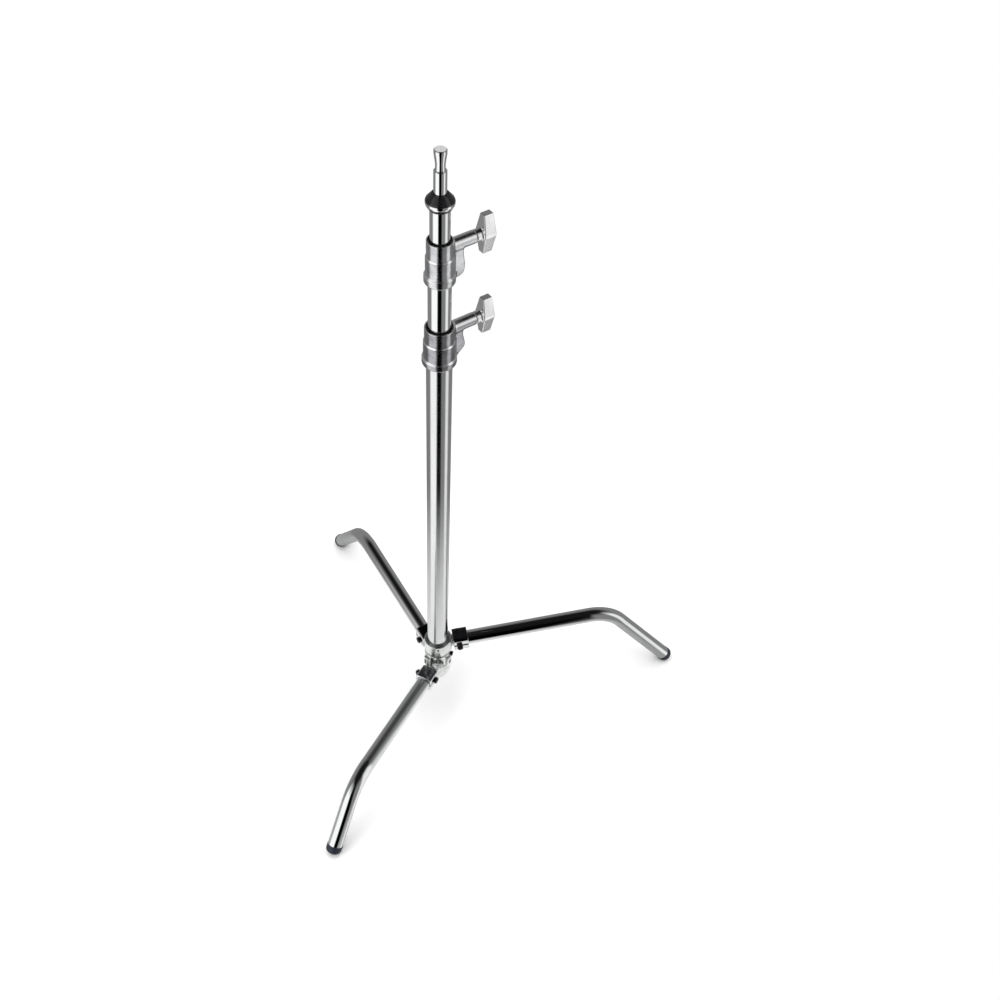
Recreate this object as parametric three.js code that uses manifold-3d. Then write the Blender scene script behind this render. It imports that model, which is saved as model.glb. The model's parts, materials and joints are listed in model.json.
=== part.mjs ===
// A three-section lighting stand (C-stand) on a folding base with three bent legs at three
// heights. Millimetres, +Z up. The stand is built round its column axis, then moved so that
// the origin is at floor level under the middle of its footprint.
import * as THREE from 'three';
import { mergeVertices } from 'three/addons/utils/BufferGeometryUtils.js';
import Module from 'manifold-3d';

const wasm = await Module();
wasm.setup();

const degrees = THREE.MathUtils.degToRad;
const ROUND = 24; // sides of the column's round pieces
const SMALL = 12; // sides of screws and pins
const GAP = 0.3; // clearance between neighbouring solids

// Column tubes: outer and inner radius, lower and upper end.
const BASE_TUBE = { outer: 17.5, inner: 15.5, bottom: 160.3, top: 836 };
const RISER_1 = { outer: 15, inner: 13, bottom: 186, top: 963 };
const RISER_2 = { outer: 12.5, inner: 10.5, bottom: 226, top: 1046 };
const GUIDE_FLANGE = 4; // thickness of the guide plug's flange under each riser
const GUIDE_NECK = 12; // length of the guide plug inside the riser

// Stud and the bumper ring that its load rests on.
const STUD = { radius: 8, waist: 6, head: 7.85, root: 998, top: 1106 };
const BUMPER = { bottom: 1030, top: 1050, foot: 14, belly: 17.8, brim: 10.5 };
const STUD_PIN = { radius: 2, height: 1038 };

// Clamp collars: heights from the floor, [height above the bottom, radius] of each step, and
// the web under the boss as [radius, height above the bottom].
const CLAMP_AZIMUTH = 34;
const COLLARS = {
  lower: {
    bottom: 796, height: 58, screw: 844, seat: BASE_TUBE, slider: RISER_1, bossEnd: 53.5,
    steps: [[10, 23.2], [36, 21.2], [58, 19.7]],
    web: { toe: [22, 1], knee: [35, 13.5], belly: [36.5, 20], neck: [32.5, 38] },
  },
  upper: {
    bottom: 926, height: 60, screw: 972, seat: RISER_1, slider: RISER_2, bossEnd: 49.5,
    steps: [[11, 20], [37, 18], [60, 16.75]],
    web: { toe: [25, 0.5], knee: [32, 5], belly: [33.5, 17], neck: [30.5, 38] },
  },
};
const WEB_WIDTH = 14;
const BOSS_RADIUS = 8.5;
const BUSH_RECESS = 2.6; // from the collar's rim down to its bush

// Clamp screw, brake shoe and T-knob.
const SCREW_RADIUS = 4;
const SHOE = { radius: 4.8, thickness: 2.1, travel: 2.5 };
const T_KNOB = { skirt: 8.2, skirtLength: 9, length: 55, middle: 21, end: 8.8, thick: 17, thin: 13.5 };

// Folding base: a core with three stacked rings, one for each leg.
const CORE = { bore: 14.3, outer: 17, bottom: 64, top: 160, flange: 19.6, flangeHeight: 3.5 };
const RING = { bore: 17.4, outer: 22.5, halfHeight: 14, armWidth: 27, armEnd: 25 };
const BASE_CAP = { bottom: 57, outer: 20, top: 69.1 };
const SPIGOT = { radius: 14, bottom: 84, plug: 15.2, plugTop: 178 };
const WASHER_RADIUS = 20.5;
const LOCK = {
  azimuth: 272, height: 121, screw: 3, pad: 4.2, padThickness: 1.4,
  boss: 7.5, bossEnd: 24.5, knob: 10, knobEnd: 33.5,
};
const EAR = { offset: 48, width: 11, height: 21, reach: 28.5, slotWidth: 5, slotHeight: 13 };
const STOP_BOLT = { azimuth: 346, height: 121, shank: 2, head: 4, reach: 27.5 };
const GRUB_SCREW = { azimuth: 272, height: 152, radius: 1.8, inner: 19.2, outer: 22 };

// Legs: an arm that rises gently from the hub, a round bend, and a shin down to the foot.
const LEGS = {
  upper: { azimuth: 8.7, height: 145.3, corner: 305.2 },
  middle: { azimuth: 120, height: 114.9, corner: 288.9 },
  lower: { azimuth: 241.8, height: 83.8, corner: 277.5 },
};
const LEG = { outer: 12.5, inner: 10.5, start: 28.2, rise: 5.3, fall: 51.9, bendRadius: 68, sides: 16 };
const BEND_STEPS = 8;
const STUB = { radius: 10.2, end: 52 }; // the ring's spigot inside the leg
const SLEEVE = { inner: 12.8, half: 14.7, corner: 5, start: 27.2, end: 53 }; // square outside, round inside
const LEG_BOLT = { at: 37, radius: 2.9, head: 5.6, headLength: 4.5, halfGrip: 15.2, nutLength: 5.5 };
const FOOT_CAP = { radius: 13, plug: 10.2, plugLength: 12, rim: 8.5, dome: 8 };

const FINISHES = {
  chrome: [0xd9dbdc, 0.12, 1],
  satin: [0xb4b6b5, 0.32, 1],
  casting: [0xa3a7a4, 0.45, 0.9],
  zinc: [0x8f9294, 0.4, 1],
  blackened: [0x1b1c1e, 0.45, 0.8],
  brass: [0xb08d4a, 0.4, 1],
  rubber: [0x101319, 0.6, 0],
  nylon: [0x0c0c0d, 0.5, 0],
};

// ---- Solids ----

// Merge shared vertices, drop faces of no area and turn the faces outwards.
function closed(geometry) {
  geometry.deleteAttribute('normal');
  geometry.deleteAttribute('uv');
  const merged = mergeVertices(geometry, 1e-4);
  const index = merged.index.array;
  const position = merged.attributes.position;
  const corner = [new THREE.Vector3(), new THREE.Vector3(), new THREE.Vector3()];
  const faces = [];
  let volume = 0;
  for (let i = 0; i < index.length; i += 3) {
    const face = [index[i], index[i + 1], index[i + 2]];
    if (new Set(face).size === 3) {
      faces.push(face);
      face.forEach((vertex, j) => corner[j].fromBufferAttribute(position, vertex));
      volume += corner[0].dot(corner[1].cross(corner[2]));
    }
  }
  if (volume < 0) {
    faces.forEach((face) => face.reverse());
  }
  merged.setIndex(faces.flat());
  return merged;
}

function toSolid(geometry) {
  const merged = closed(geometry);
  return new wasm.Manifold(new wasm.Mesh({
    numProp: 3,
    vertProperties: new Float32Array(merged.attributes.position.array),
    triVerts: new Uint32Array(merged.index.array),
  }));
}

function toGeometry(solid) {
  const mesh = solid.getMesh();
  const geometry = new THREE.BufferGeometry();
  geometry.setAttribute('position', new THREE.BufferAttribute(mesh.vertProperties, 3));
  geometry.setIndex(Array.from(mesh.triVerts));
  return geometry;
}

// A solid turned about Z from an outline of [radius, height] that starts and ends on the axis.
function turned(outline, sides = ROUND) {
  const points = outline.map(([radius, height]) => new THREE.Vector2(radius, height));
  return closed(new THREE.LatheGeometry(points, sides).rotateX(Math.PI / 2));
}

// A ring turned about Z from an outline that closes on itself.
function turnedRing(outline, sides = ROUND) {
  return turned([...outline, outline[0]], sides);
}

function tube(inner, outer, bottom, top, sides = ROUND) {
  return turnedRing([[inner, bottom], [outer, bottom], [outer, top], [inner, top]], sides);
}

// A round bar along X.
function rod(radius, from, to, sides = SMALL) {
  const bar = new THREE.CylinderGeometry(radius, radius, to - from, sides);
  return bar.rotateZ(-Math.PI / 2).translate((from + to) / 2, 0, 0);
}

// A flat outline in the XZ plane, given a thickness along Y about Y = 0.
function plate(shape, width, curveSegments = 4) {
  const flat = new THREE.ExtrudeGeometry(shape, { depth: width, bevelEnabled: false, curveSegments });
  return flat.translate(0, 0, -width / 2).rotateX(Math.PI / 2);
}

function part(name, geometry, finish) {
  const [color, roughness, metalness] = FINISHES[finish];
  const mesh = new THREE.Mesh(geometry, new THREE.MeshStandardMaterial({ color, roughness, metalness }));
  mesh.name = name;
  return mesh;
}

function radialGroup(azimuth, height, ...children) {
  const group = new THREE.Group();
  group.rotation.z = degrees(azimuth);
  group.position.z = height;
  group.add(...children);
  return group;
}

// ---- Column ----

function baseColumn() {
  const baseTube = tube(BASE_TUBE.inner, BASE_TUBE.outer, BASE_TUBE.bottom, BASE_TUBE.top);
  const plugBottom = CORE.top + 2 * GAP;
  const spigot = turned([
    [0, SPIGOT.bottom], [SPIGOT.radius - 2, SPIGOT.bottom], [SPIGOT.radius, SPIGOT.bottom + 3],
    [SPIGOT.radius, plugBottom], [SPIGOT.plug, plugBottom], [SPIGOT.plug, SPIGOT.plugTop],
    [0, SPIGOT.plugTop],
  ]);
  return [part('base_tube', baseTube, 'satin'), part('column_spigot', spigot, 'zinc')];
}

// A riser and the nylon plug that guides its lower end inside the tube below.
function riser(name, size, hostInner) {
  const flange = hostInner - GAP;
  const neck = size.inner - GAP;
  const below = size.bottom - GAP;
  const guide = turnedRing([
    [neck - 3, below - GUIDE_FLANGE], [flange, below - GUIDE_FLANGE], [flange, below],
    [neck, below], [neck, below + GUIDE_NECK], [neck - 3, below + GUIDE_NECK],
  ]);
  return [
    part(`${name}_tube`, tube(size.inner, size.outer, size.bottom, size.top), 'chrome'),
    part(`${name}_guide`, guide, 'nylon'),
  ];
}

function studAndBumper() {
  const shoulder = RISER_2.top + GAP;
  const pinHole = rod(STUD_PIN.radius + GAP, -20, 20, SMALL).translate(0, 0, STUD_PIN.height);
  const stud = toSolid(turned([
    [0, STUD.root], [RISER_2.inner - GAP, STUD.root], [RISER_2.inner - GAP, shoulder],
    [STUD.radius, shoulder], [STUD.radius, 1079], [STUD.waist, 1081], [STUD.waist, 1087],
    [STUD.head, 1101], [STUD.head, STUD.top - 1.4], [STUD.head - 1.4, STUD.top], [0, STUD.top],
  ])).subtract(toSolid(pinHole.clone()));
  const riserTube = toSolid(tube(RISER_2.inner, RISER_2.outer, RISER_2.bottom, RISER_2.top));
  const bore = RISER_2.outer + GAP;
  const bumper = turnedRing([
    [bore, BUMPER.bottom], [BUMPER.foot, BUMPER.bottom], [BUMPER.belly - 0.6, 1035.5],
    [BUMPER.belly, 1037.5], [BUMPER.belly, 1040.5], [BUMPER.belly - 0.8, 1042.5],
    [BUMPER.brim, BUMPER.top], [STUD.radius + GAP, BUMPER.top],
    [STUD.radius + GAP, shoulder + GAP], [bore, shoulder + GAP],
  ]);
  const pin = rod(STUD_PIN.radius, -bore + GAP * 2, bore - GAP * 2).translate(0, 0, STUD_PIN.height);
  return {
    drilledTube: toGeometry(riserTube.subtract(toSolid(pinHole))),
    pieces: [
      part('stud', toGeometry(stud), 'chrome'),
      part('bumper_ring', bumper, 'nylon'),
      part('stud_pin', pin, 'zinc'),
    ],
  };
}

// ---- Clamp collars ----

// The outside of a collar: stepped rings with a small chamfer at each edge.
function collarOutline(steps, height) {
  const edge = 1;
  const outline = [[0, 0], [steps[0][1] - edge, 0]];
  let from = 0;
  for (const [to, radius] of steps) {
    outline.push([radius, from + edge], [radius, to - edge], [radius - edge, to]);
    from = to;
  }
  outline.push([0, height]);
  return outline;
}

function collarCasting(collar) {
  const { toe, knee, belly, neck } = collar.web;
  const screwLevel = collar.screw - collar.bottom;
  const web = new THREE.Shape();
  web.moveTo(collar.slider.outer, toe[1]);
  web.lineTo(...toe);
  web.lineTo(...knee);
  web.quadraticCurveTo(belly[0], (knee[1] + belly[1]) / 2, ...belly);
  web.quadraticCurveTo(neck[0], (belly[1] + neck[1]) / 2, ...neck);
  web.lineTo(neck[0], screwLevel);
  web.lineTo(collar.slider.outer, screwLevel);
  const outside = toSolid(turned(collarOutline(collar.steps, collar.height)));
  const boss = rod(BOSS_RADIUS, 10, collar.bossEnd, 24).translate(0, 0, screwLevel);
  const bore = rod(collar.seat.outer + GAP, -10, collar.height + 10, ROUND).rotateY(-Math.PI / 2);
  const thread = rod(SCREW_RADIUS + 0.4, 0, collar.bossEnd + 10).translate(0, 0, screwLevel);
  const shoePocket = rod(SHOE.radius + 0.4, 0, collar.seat.outer + SHOE.travel + 0.6);
  return toGeometry(outside
    .add(toSolid(plate(web, WEB_WIDTH)))
    .add(toSolid(boss))
    .subtract(toSolid(bore))
    .subtract(toSolid(thread))
    .subtract(toSolid(shoePocket.translate(0, 0, screwLevel))));
}

// The nylon bush between the casting and the riser, with a window for the brake shoe.
function collarBush(collar) {
  const bottom = collar.seat.top + GAP - collar.bottom;
  const top = collar.height - BUSH_RECESS;
  const ring = tube(collar.slider.outer + GAP, collar.seat.outer, bottom, top);
  const window = rod(SHOE.radius + 0.4, 0, 30).translate(0, 0, collar.screw - collar.bottom);
  return toGeometry(toSolid(ring).subtract(toSolid(window)));
}

// A round pad hollowed to the radius of the tube that it grips.
function gripPad(radius, tubeRadius, thickness) {
  const disc = toSolid(rod(radius, tubeRadius - 2, tubeRadius + GAP + thickness));
  const hollow = rod(tubeRadius + GAP, -20, 20, ROUND).rotateY(Math.PI / 2);
  return toGeometry(disc.subtract(toSolid(hollow)));
}

// The T-knob: a bar tapered both ways towards its ends, on a round skirt.
function tKnob() {
  const { length, middle, end, thick, thin, skirt, skirtLength } = T_KNOB;
  const taper = (wide, narrow) => {
    const shape = new THREE.Shape();
    shape.moveTo(-narrow / 2, -length / 2);
    shape.lineTo(narrow / 2, -length / 2);
    shape.lineTo(wide / 2, -2);
    shape.lineTo(wide / 2, 2);
    shape.lineTo(narrow / 2, length / 2);
    shape.lineTo(-narrow / 2, length / 2);
    shape.lineTo(-wide / 2, 2);
    shape.lineTo(-wide / 2, -2);
    return shape;
  };
  const centre = GAP + skirtLength + thick / 2;
  const side = toSolid(plate(taper(thick, thin), 30));
  const front = toSolid(plate(taper(middle, end), 30).rotateZ(Math.PI / 2));
  const bar = side.intersect(front).translate(centre, 0, 0);
  const collar = toSolid(rod(skirt, 2 * GAP, GAP + skirtLength + 2, 24));
  const socket = toSolid(rod(SCREW_RADIUS + GAP, -5, centre));
  return toGeometry(bar.add(collar).subtract(socket));
}

function clampCollar(name, collar) {
  const screwLevel = collar.screw - collar.bottom;
  const shoe = gripPad(SHOE.radius, collar.slider.outer, SHOE.thickness);
  const screwStart = collar.slider.outer + SHOE.thickness + 2 * GAP;
  const screwEnd = collar.bossEnd + T_KNOB.skirtLength + T_KNOB.thick / 2;
  const screw = rod(SCREW_RADIUS, screwStart, screwEnd);
  const pieces = [
    part(`${name}_brake_shoe`, shoe, 'brass'),
    part(`${name}_clamp_screw`, screw, 'zinc'),
    part(`${name}_t_knob`, tKnob(), 'satin'),
  ];
  pieces.forEach((piece) => piece.position.setZ(screwLevel));
  pieces[2].position.setX(collar.bossEnd);
  return radialGroup(
    CLAMP_AZIMUTH,
    collar.bottom,
    part(`${name}_collar`, collarCasting(collar), 'casting'),
    part(`${name}_collar_bush`, collarBush(collar), 'nylon'),
    ...pieces,
  );
}

// ---- Folding base ----

function hubCore() {
  const sleeve = toSolid(turnedRing([
    [CORE.bore, CORE.bottom], [CORE.outer, CORE.bottom], [CORE.outer, CORE.top - CORE.flangeHeight],
    [CORE.flange, CORE.top - CORE.flangeHeight], [CORE.flange, CORE.top], [CORE.bore, CORE.top],
  ]));
  const padHole = rod(LOCK.pad + GAP, 0, 30).rotateZ(degrees(LOCK.azimuth)).translate(0, 0, LOCK.height);
  const cap = turned([
    [0, BASE_CAP.bottom], [12, BASE_CAP.bottom], [17, 59.2], [19.2, 62.6], [BASE_CAP.outer, 66],
    [BASE_CAP.outer, BASE_CAP.top], [CORE.outer + GAP, BASE_CAP.top],
    [CORE.outer + GAP, CORE.bottom - GAP], [0, CORE.bottom - GAP],
  ]);
  const washer = (below, above) => tube(
    CORE.outer + GAP,
    WASHER_RADIUS,
    below.height + RING.halfHeight + GAP,
    above.height - RING.halfHeight - GAP,
  );
  return [
    part('hub_core', toGeometry(sleeve.subtract(toSolid(padHole))), 'zinc'),
    part('base_cap', cap, 'casting'),
    part('upper_thrust_washer', washer(LEGS.middle, LEGS.upper), 'nylon'),
    part('lower_thrust_washer', washer(LEGS.lower, LEGS.middle), 'nylon'),
  ];
}

// The plain casting that every leg has: a ring, an arm whose end is round so that it clears the
// other legs' sleeves, and a spigot drilled for the leg bolt.
function legRing() {
  const { bore, outer, halfHeight, armWidth, armEnd } = RING;
  const arm = new THREE.BoxGeometry(armEnd, armWidth, 2 * halfHeight).translate(armEnd / 2, 0, 0);
  const sweep = rod(armEnd, -20, 20, 2 * ROUND).rotateY(Math.PI / 2);
  const hole = rod(bore, -20, 20, ROUND).rotateY(Math.PI / 2);
  const stub = rod(STUB.radius, bore + 1, STUB.end, 24).rotateY(-degrees(LEG.rise));
  const boltHole = rod(LEG_BOLT.radius + GAP, -20, 20).rotateZ(Math.PI / 2).translate(LEG_BOLT.at, 0, 0);
  return toSolid(turned([[0, -halfHeight], [outer, -halfHeight], [outer, halfHeight], [0, halfHeight]]))
    .add(toSolid(arm).intersect(toSolid(sweep)))
    .subtract(toSolid(hole))
    .add(toSolid(stub))
    .subtract(toSolid(boltHole.rotateY(-degrees(LEG.rise))));
}

// The upper ring has a recess for the core's flange and a hole for the grub screw.
function upperRing() {
  const top = CORE.top - LEGS.upper.height;
  const recess = rod(CORE.flange + 0.4, top - CORE.flangeHeight - GAP, top + 5, ROUND);
  const screwHole = rod(GRUB_SCREW.radius + GAP, 15, 30)
    .rotateZ(degrees(GRUB_SCREW.azimuth - LEGS.upper.azimuth))
    .translate(0, 0, GRUB_SCREW.height - LEGS.upper.height);
  return legRing().subtract(toSolid(recess.rotateY(-Math.PI / 2))).subtract(toSolid(screwHole));
}

// The middle ring is fixed to the core. It carries the lock boss, two ears and the stop bolt.
function middleRing() {
  const place = (geometry, azimuth, height) => toSolid(geometry
    .rotateZ(degrees(azimuth - LEGS.middle.azimuth))
    .translate(0, 0, height - LEGS.middle.height));
  let ring = legRing().add(place(rod(LOCK.boss, 19, LOCK.bossEnd, 24), LOCK.azimuth, LOCK.height));
  for (const side of [-1, 1]) {
    const azimuth = LOCK.azimuth + side * EAR.offset;
    const ear = new THREE.BoxGeometry(EAR.reach - 19, EAR.width, EAR.height);
    const slot = new THREE.BoxGeometry(4, EAR.slotWidth, EAR.slotHeight);
    ring = ring
      .add(place(ear.translate((EAR.reach + 19) / 2, 0, 0), azimuth, LEGS.middle.height))
      .subtract(place(slot.translate(EAR.reach, 0, 0), azimuth, LEGS.middle.height));
  }
  const lockHole = rod(LOCK.screw + GAP, 15, 40);
  const stopHole = rod(STOP_BOLT.shank + GAP, 18.6, 40);
  return ring
    .subtract(place(lockHole, LOCK.azimuth, LOCK.height))
    .subtract(place(stopHole, STOP_BOLT.azimuth, STOP_BOLT.height));
}

function baseLock() {
  const pad = gripPad(LOCK.pad, SPIGOT.radius, LOCK.padThickness);
  const knobStart = LOCK.bossEnd + 2 * GAP;
  const knobMiddle = (knobStart + LOCK.knobEnd) / 2;
  const knob = toSolid(turned([
    [0, knobStart], [LOCK.knob - 2.5, knobStart], [LOCK.knob, knobStart + 2.5],
    [LOCK.knob, LOCK.knobEnd - 2], [LOCK.knob - 2, LOCK.knobEnd], [0, LOCK.knobEnd],
  ], 24).rotateY(Math.PI / 2)).subtract(toSolid(rod(LOCK.screw + GAP, 20, knobMiddle + GAP)));
  return radialGroup(
    LOCK.azimuth,
    LOCK.height,
    part('base_lock_pad', pad, 'brass'),
    part('base_lock_screw', rod(LOCK.screw, SPIGOT.radius + LOCK.padThickness + 2 * GAP, knobMiddle), 'zinc'),
    part('base_lock_knob', toGeometry(knob), 'casting'),
  );
}

function stopBolt() {
  const ringFace = RING.outer + GAP;
  const bolt = turned([
    [0, 18.9], [STOP_BOLT.shank, 18.9], [STOP_BOLT.shank, ringFace], [STOP_BOLT.head, ringFace],
    [STOP_BOLT.head, STOP_BOLT.reach], [2, STOP_BOLT.reach], [2, STOP_BOLT.reach - 2],
    [0, STOP_BOLT.reach - 2],
  ], SMALL).rotateY(Math.PI / 2);
  return radialGroup(STOP_BOLT.azimuth, STOP_BOLT.height, part('leg_stop_bolt', bolt, 'blackened'));
}

// ---- Legs ----

// The leg's centre line in the XZ plane: a straight arm, a round bend and a straight shin.
// It is sampled once along each straight and evenly round the bend.
class LegLine extends THREE.Curve {
  constructor(armEnd, shin) {
    super();
    this.armEnd = armEnd;
    this.shin = shin;
  }

  getUtoTmapping(u) {
    return u;
  }

  getPoint(t) {
    const step = t * (BEND_STEPS + 2) - 1;
    const turn = degrees(LEG.rise + LEG.fall);
    const angle = turn * THREE.MathUtils.clamp(step / BEND_STEPS, 0, 1);
    const before = (this.armEnd - LEG.start) * Math.min(step, 0);
    const after = this.shin * Math.max(step - BEND_STEPS, 0);
    return new THREE.Vector3(
      this.armEnd + before + LEG.bendRadius * Math.sin(angle) + after * Math.cos(turn),
      0,
      LEG.bendRadius * (Math.cos(angle) - 1) - after * Math.sin(turn),
    );
  }
}

function legTube(line) {
  const section = new THREE.Shape().absarc(0, 0, LEG.outer, 0, 2 * Math.PI);
  section.holes.push(new THREE.Path().absarc(0, 0, LEG.inner, 0, 2 * Math.PI, true));
  const swept = new THREE.ExtrudeGeometry(section, {
    extrudePath: line,
    steps: BEND_STEPS + 2,
    curveSegments: LEG.sides / 2,
    bevelEnabled: false,
  });
  const boltHole = rod(LEG_BOLT.radius + GAP, -20, 20).rotateZ(Math.PI / 2).translate(LEG_BOLT.at, 0, 0);
  return toGeometry(toSolid(swept).subtract(toSolid(boltHole)));
}

// The sleeve round the inner end of the leg, along X: a square bar with round corners and a round bore.
function squareSleeve() {
  const flat = SLEEVE.half - SLEEVE.corner;
  const section = new THREE.Shape();
  section.absarc(flat, flat, SLEEVE.corner, 0, Math.PI / 2);
  section.absarc(-flat, flat, SLEEVE.corner, Math.PI / 2, Math.PI);
  section.absarc(-flat, -flat, SLEEVE.corner, Math.PI, 1.5 * Math.PI);
  section.absarc(flat, -flat, SLEEVE.corner, 1.5 * Math.PI, 2 * Math.PI);
  section.holes.push(new THREE.Path().absarc(0, 0, SLEEVE.inner, 0, 2 * Math.PI, true));
  const depth = SLEEVE.end - SLEEVE.start;
  const bar = new THREE.ExtrudeGeometry(section, { depth, curveSegments: 8, bevelEnabled: false });
  return bar.translate(0, 0, SLEEVE.start).rotateY(Math.PI / 2);
}

function footCap() {
  const { radius, plug, plugLength, rim, dome } = FOOT_CAP;
  const outline = [[0, -plugLength], [plug, -plugLength], [plug, GAP], [radius, GAP], [radius, rim]];
  const domeSteps = 6;
  for (let i = 1; i <= domeSteps; i += 1) {
    const angle = (i / domeSteps) * Math.PI / 2;
    outline.push([i === domeSteps ? 0 : radius * Math.cos(angle), rim + dome * Math.sin(angle)]);
  }
  return turned(outline, 24).rotateY(Math.PI / 2);
}

function legBoltAndNut(name) {
  const { radius, head, headLength, halfGrip, nutLength } = LEG_BOLT;
  const nutEnd = halfGrip + nutLength;
  const bolt = toSolid(rod(radius, -halfGrip - 1, nutEnd + 2))
    .add(toSolid(rod(head, -halfGrip - headLength, -halfGrip, 12)));
  const nut = toSolid(rod(head, halfGrip, nutEnd, 6)).subtract(toSolid(rod(radius + GAP, 0, 40)));
  const pieces = [
    part(`${name}_leg_bolt`, toGeometry(bolt), 'blackened'),
    part(`${name}_leg_nut`, toGeometry(nut), 'blackened'),
  ];
  for (const piece of pieces) {
    piece.rotation.z = -Math.PI / 2;
    piece.position.x = LEG_BOLT.at;
  }
  return pieces;
}

// Everything that swings with one leg, along local X, tilted up by the arm's rise.
function legAssembly(name, leg, ring) {
  const rise = degrees(LEG.rise);
  const fall = degrees(LEG.fall);
  const turn = rise + fall;
  const setback = LEG.bendRadius * Math.tan(turn / 2);
  const footDrop = Math.hypot(FOOT_CAP.dome * Math.sin(fall), FOOT_CAP.radius * Math.cos(fall));
  const tubeEndHeight = footDrop + FOOT_CAP.rim * Math.sin(fall);
  const cornerHeight = leg.height + leg.corner * Math.tan(rise);
  const shin = (cornerHeight - tubeEndHeight) / Math.sin(fall) - setback;
  const line = new LegLine(leg.corner / Math.cos(rise) - setback, shin);

  const cap = part(`${name}_foot_cap`, footCap(), 'rubber');
  cap.position.copy(line.getPoint(1));
  cap.rotation.y = turn;
  const boltHole = rod(LEG_BOLT.radius + GAP, -20, 20).rotateZ(Math.PI / 2).translate(LEG_BOLT.at, 0, 0);
  const tilted = new THREE.Group();
  tilted.rotation.y = -rise;
  tilted.add(
    part(`${name}_leg_sleeve`, toGeometry(toSolid(squareSleeve()).subtract(toSolid(boltHole))), 'chrome'),
    part(`${name}_leg_tube`, legTube(line), 'chrome'),
    cap,
    ...legBoltAndNut(name),
  );
  const casting = part(`${name}_leg_ring`, toGeometry(ring), 'casting');
  return radialGroup(leg.azimuth, leg.height, casting, tilted);
}

// ---- Assembly ----

const head = studAndBumper();
const riser2 = riser('riser_2', RISER_2, RISER_1.inner);
riser2[0].geometry = head.drilledTube;
const grubScrew = rod(GRUB_SCREW.radius, GRUB_SCREW.inner, GRUB_SCREW.outer);

const stand = new THREE.Group();
stand.add(
  ...hubCore(),
  legAssembly('upper', LEGS.upper, upperRing()),
  legAssembly('middle', LEGS.middle, middleRing()),
  legAssembly('lower', LEGS.lower, legRing()),
  radialGroup(GRUB_SCREW.azimuth, GRUB_SCREW.height, part('ring_grub_screw', grubScrew, 'blackened')),
  stopBolt(),
  baseLock(),
  ...baseColumn(),
  clampCollar('lower', COLLARS.lower),
  ...riser('riser_1', RISER_1, BASE_TUBE.inner),
  clampCollar('upper', COLLARS.upper),
  ...riser2,
  ...head.pieces,
);

const footprint = new THREE.Box3().setFromObject(stand, true);
const middle = footprint.getCenter(new THREE.Vector3());
stand.position.set(-middle.x, -middle.y, -footprint.min.z);

const cStand = new THREE.Group();
cStand.add(stand);
export default cStand;
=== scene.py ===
"""The looks of a C-stand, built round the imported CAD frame. Blender 4.5, metres, +Z up.

Outlines are written in millimetres, as [radius, height] or [radius, distance along the piece],
and made into metres by the mesh functions.
"""
import json
import math

import bpy
import numpy as np
from mathutils import Matrix, Vector


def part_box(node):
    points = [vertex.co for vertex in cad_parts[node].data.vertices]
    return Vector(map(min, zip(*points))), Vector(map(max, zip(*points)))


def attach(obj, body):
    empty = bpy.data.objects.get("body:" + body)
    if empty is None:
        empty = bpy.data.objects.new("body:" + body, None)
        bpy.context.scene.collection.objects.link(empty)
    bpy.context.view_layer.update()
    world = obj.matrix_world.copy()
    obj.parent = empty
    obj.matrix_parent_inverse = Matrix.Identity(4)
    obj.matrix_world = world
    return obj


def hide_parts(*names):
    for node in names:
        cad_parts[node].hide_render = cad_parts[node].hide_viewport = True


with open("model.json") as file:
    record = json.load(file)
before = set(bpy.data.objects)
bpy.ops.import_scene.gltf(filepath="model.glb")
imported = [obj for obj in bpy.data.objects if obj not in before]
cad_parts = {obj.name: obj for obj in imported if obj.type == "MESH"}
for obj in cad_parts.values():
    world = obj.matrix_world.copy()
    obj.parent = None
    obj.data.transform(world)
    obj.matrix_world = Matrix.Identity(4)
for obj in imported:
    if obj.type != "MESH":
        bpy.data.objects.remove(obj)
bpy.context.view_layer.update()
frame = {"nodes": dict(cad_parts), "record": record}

MM = 0.001

# ---- Sizes in millimetres, as in the CAD ----

BASE_TUBE = {"outer": 17.5, "inner": 15.5, "bottom": 160.3, "top": 836}
RISER_1 = {"outer": 15, "inner": 13, "bottom": 186, "top": 963}
RISER_2 = {"outer": 12.5, "inner": 10.5, "bottom": 226, "top": 1046}
CLAMP_AZIMUTH = 34
COLLARS = {
    "lower": {
        "bottom": 796, "height": 58, "screw": 844, "seat": BASE_TUBE, "slider": RISER_1,
        "boss_end": 53.5, "steps": [(10, 23.2), (36, 21.2), (58, 19.7)],
        "web": [(10, 1), (22, 1), (35, 13.5), (36.3, 17), (36, 22), (33.4, 33), (32.5, 48), (10, 48)],
    },
    "upper": {
        "bottom": 926, "height": 60, "screw": 972, "seat": RISER_1, "slider": RISER_2,
        "boss_end": 49.5, "steps": [(11, 20), (37, 18), (60, 16.75)],
        "web": [(10, 0.6), (25, 0.6), (31, 4), (33, 10), (33.3, 17), (31.2, 31), (30.5, 46), (10, 46)],
    },
}
WEB_WIDTH = 14
BOSS_RADIUS = 8.5
SCREW_RADIUS = 4
SCREW_PITCH = 1.25
SHOE_POCKET = {"radius": 5.2, "beyond_seat": 3.1}
T_KNOB = {
    "skirt": 8.2, "skirt_length": 9, "length": 55, "middle": 21, "end": 8.8, "thick": 17, "thin": 13.5,
}

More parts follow.
